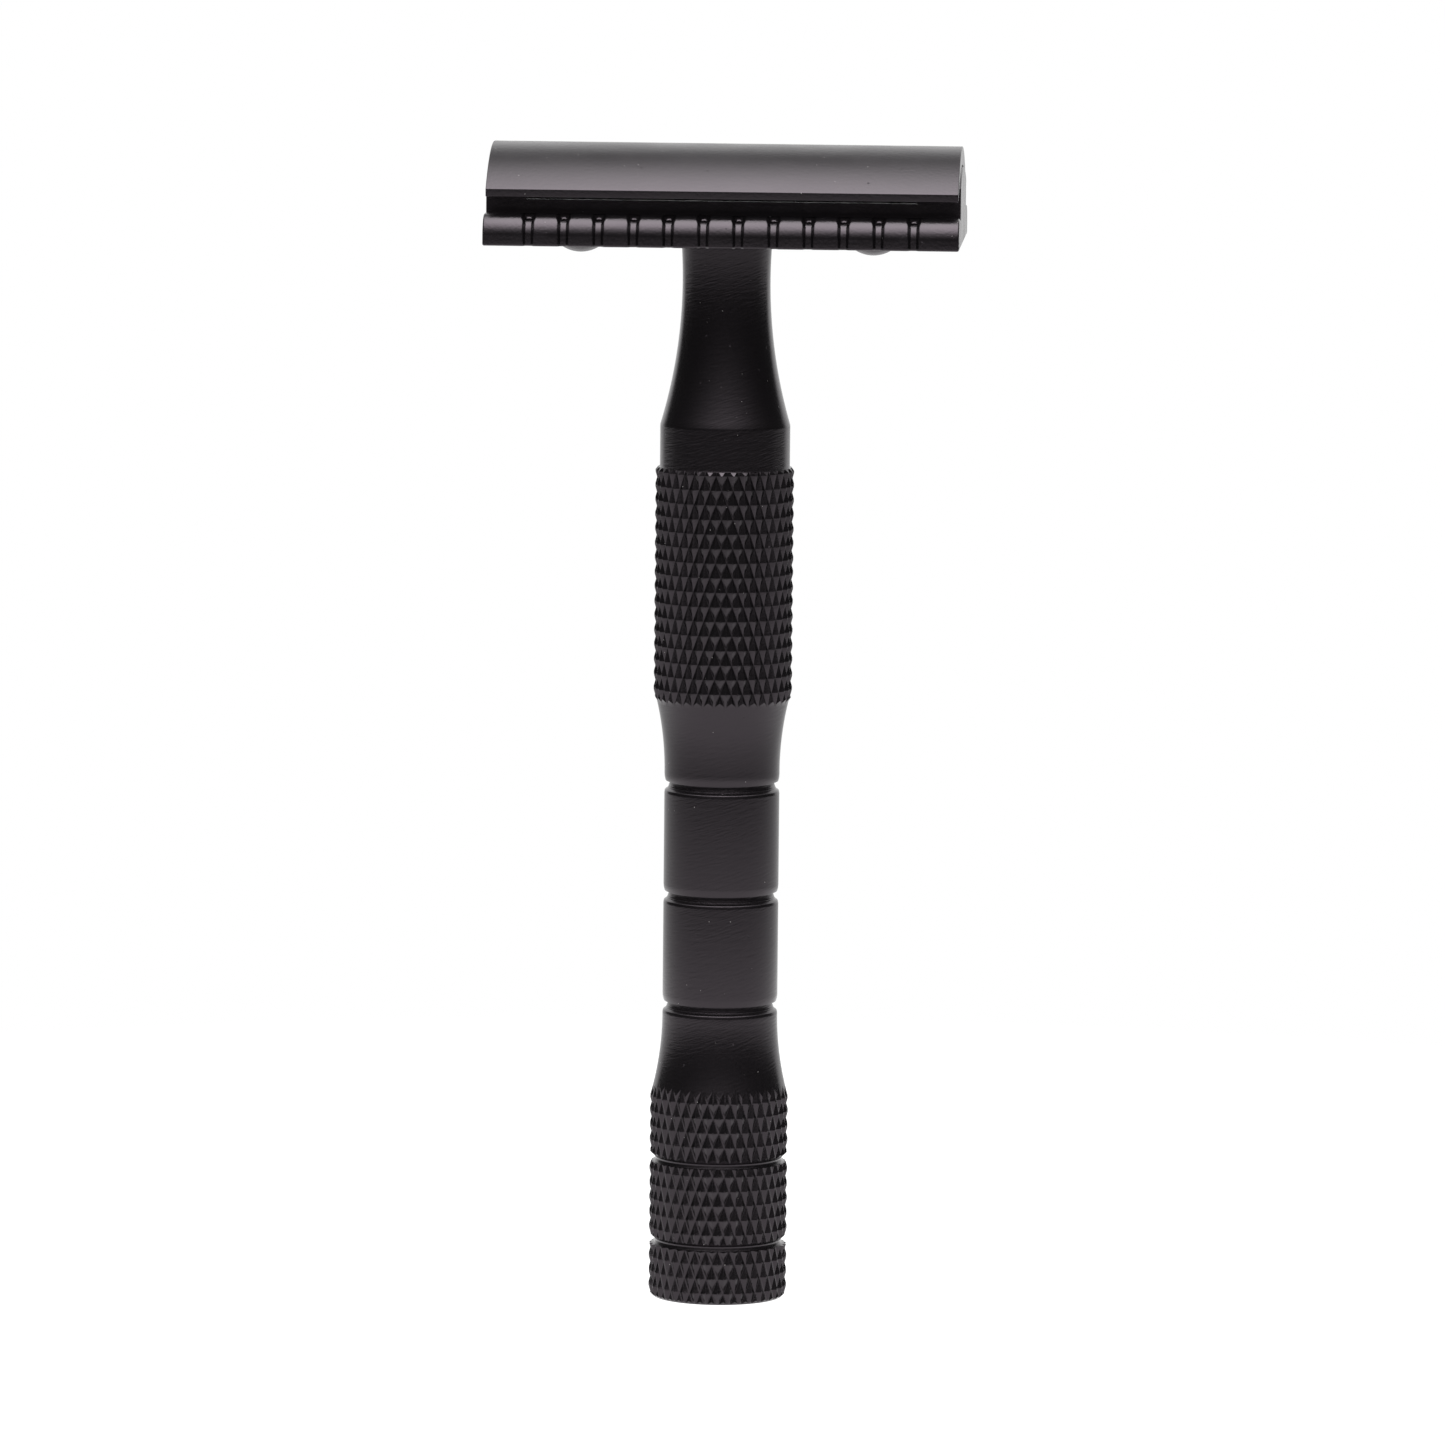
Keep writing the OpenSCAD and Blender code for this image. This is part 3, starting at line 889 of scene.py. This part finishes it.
def make_pins(material):
    shoulder_z = PIN_HIGH.z - PIN_SHANK_L
    dome_z = PIN_LOW.z + PIN_DOME_R
    edge = -math.degrees(math.acos(PIN_R / PIN_DOME_R))
    dome = [(p.x, p.y, 0) for p in arc((0, dome_z), PIN_DOME_R, -90, edge, 14)]
    dome[0] = (0, PIN_LOW.z, 0)
    dome[-1] = (*dome[-1][:2], 0.12)
    outline = rounded([
        *dome, (PIN_R, shoulder_z, 0.1), (PIN_SHANK_R, shoulder_z, 0),
        (PIN_SHANK_R, PIN_HIGH.z, 0), (0, PIN_HIGH.z, 0),
    ])
    for side, node in ((-1, "left_pin"), (1, "right_pin")):
        pin = lathe(f"domed_{node}", outline, 72)
        pin.data.transform(Matrix.Translation((side * PIN_X * MM, 0, 0)))
        finish_piece(pin, node, "cap", material)


# ---------------------------------------------------------------- blade

BLADE_HALF_W = 11.0
BLADE_EDGE_HALF = 18.6
BLADE_TAB_HALF_W = 6.0
BLADE_CORNER_H = 2.2
BLADE_TAPER_L = 1.2
BLADE_SLOT_HALF_W = 1.2
BLADE_WINDOW = 3.2
BLADE_BEVEL_W = 0.9
BLADE_EDGE_T = 0.012


def blade_quarter():
    """Corners of the blade's flat outline in its +X +Y quarter."""
    tab_x, taper_x = BLADE_HIGH.x, BLADE_EDGE_HALF + BLADE_TAPER_L
    return [
        (tab_x, 0, 0), (tab_x, BLADE_TAB_HALF_W, 0.4), (taper_x, BLADE_TAB_HALF_W, 0.3),
        (BLADE_EDGE_HALF, BLADE_HALF_W - BLADE_CORNER_H, 0.2), (BLADE_EDGE_HALF, BLADE_HALF_W, 0),
        (0, BLADE_HALF_W, 0),
    ]


def slab(name, outline, half_t):
    """A flat plate from an outline of (x, y), centred on z = 0."""
    shape = bmesh.new()
    rings = [[shape.verts.new(Vector((*p, z)) * MM) for p in outline] for z in (-half_t, half_t)]
    join_rings(shape, rings, False)
    shape.faces.new(list(reversed(rings[0])))
    shape.faces.new(rings[1])
    return new_object(name, shape)


def blade_openings():
    """Tools for the slot, the boss hole, the diamond windows and the pin windows."""
    reach = BLADE_T
    window = PIN_R + 0.3
    slot = rounded([
        (-PIN_X, -BLADE_SLOT_HALF_W, 0), (PIN_X, -BLADE_SLOT_HALF_W, 0),
        (PIN_X, BLADE_SLOT_HALF_W, 0), (-PIN_X, BLADE_SLOT_HALF_W, 0),
    ], True)
    tools = [slab("slot", slot, reach), slab("boss_hole", arc((0, 0), BOSS_R + 0.3, 0, 352.5, 47), reach)]
    for side in (-1, 1):
        reach_x = BLADE_WINDOW / math.sqrt(2)
        middle = side * PIN_X / 2
        diamond = [
            (middle + reach_x, 0, 0), (middle, reach_x, 0.2),
            (middle - reach_x, 0, 0), (middle, -reach_x, 0.2),
        ]
        tools.append(slab("diamond", rounded(diamond, True), reach))
        x = side * PIN_X
        square = [
            (x - window, -window, 0.4), (x + window, -window, 0.4),
            (x + window, window, 0.4), (x - window, window, 0.4),
        ]
        tools.append(slab("pin_window", rounded(square, True), reach))
    return tools


def make_blade(material):
    """The blade is cut out flat, sliced, ground thin at its edges and bent round an axis along X."""
    quarter = rounded(blade_quarter())[1:-1]
    right = [Vector((p.x, -p.y)) for p in reversed(quarter)] + quarter
    outline = right + [Vector((-p.x, p.y)) for p in reversed(right)]
    blade = slab("bent_blade", outline, BLADE_T / 2)
    combine(blade, "DIFFERENCE", blade_openings())
    shape = bmesh.new()
    shape.from_mesh(blade.data)
    bevel_start = BLADE_HALF_W - BLADE_BEVEL_W
    near_edge = BLADE_HALF_W - BLADE_BEVEL_W / 3
    cuts = [k * 0.5 for k in range(-20, 21)] + [bevel_start, -bevel_start, near_edge, -near_edge]
    for y in cuts:
        geometry = shape.verts[:] + shape.edges[:] + shape.faces[:]
        bmesh.ops.bisect_plane(shape, geom=geometry, plane_co=(0, y * MM, 0), plane_no=(0, 1, 0))
    for v in shape.verts:
        flat_y = v.co.y / MM
        thin = max(0, (abs(flat_y) - bevel_start) / BLADE_BEVEL_W)
        full = BLADE_T * (1 - thin) + BLADE_EDGE_T * thin
        radius = BEND_R + math.copysign(full / 2, v.co.z)
        turn = flat_y / BEND_R
        v.co = Vector((v.co.x / MM, radius * math.sin(turn), BEND_Z + radius * math.cos(turn))) * MM
    shape.to_mesh(blade.data)
    shape.free()
    finish_piece(blade, "blade", "blade", material)


# ---------------------------------------------------------------- build

make_camera()
make_world()
make_floor()
bpy.context.scene.view_settings.view_transform = "Standard"

turned = turned_black()
blasted = blasted_black()
make_handle(turned)
make_insert(machined_brass())
make_base_plate(blasted)
make_blade(brushed_steel_painted_shade())
make_cap(blasted)
make_post(machined_steel())
make_pins(blasted)
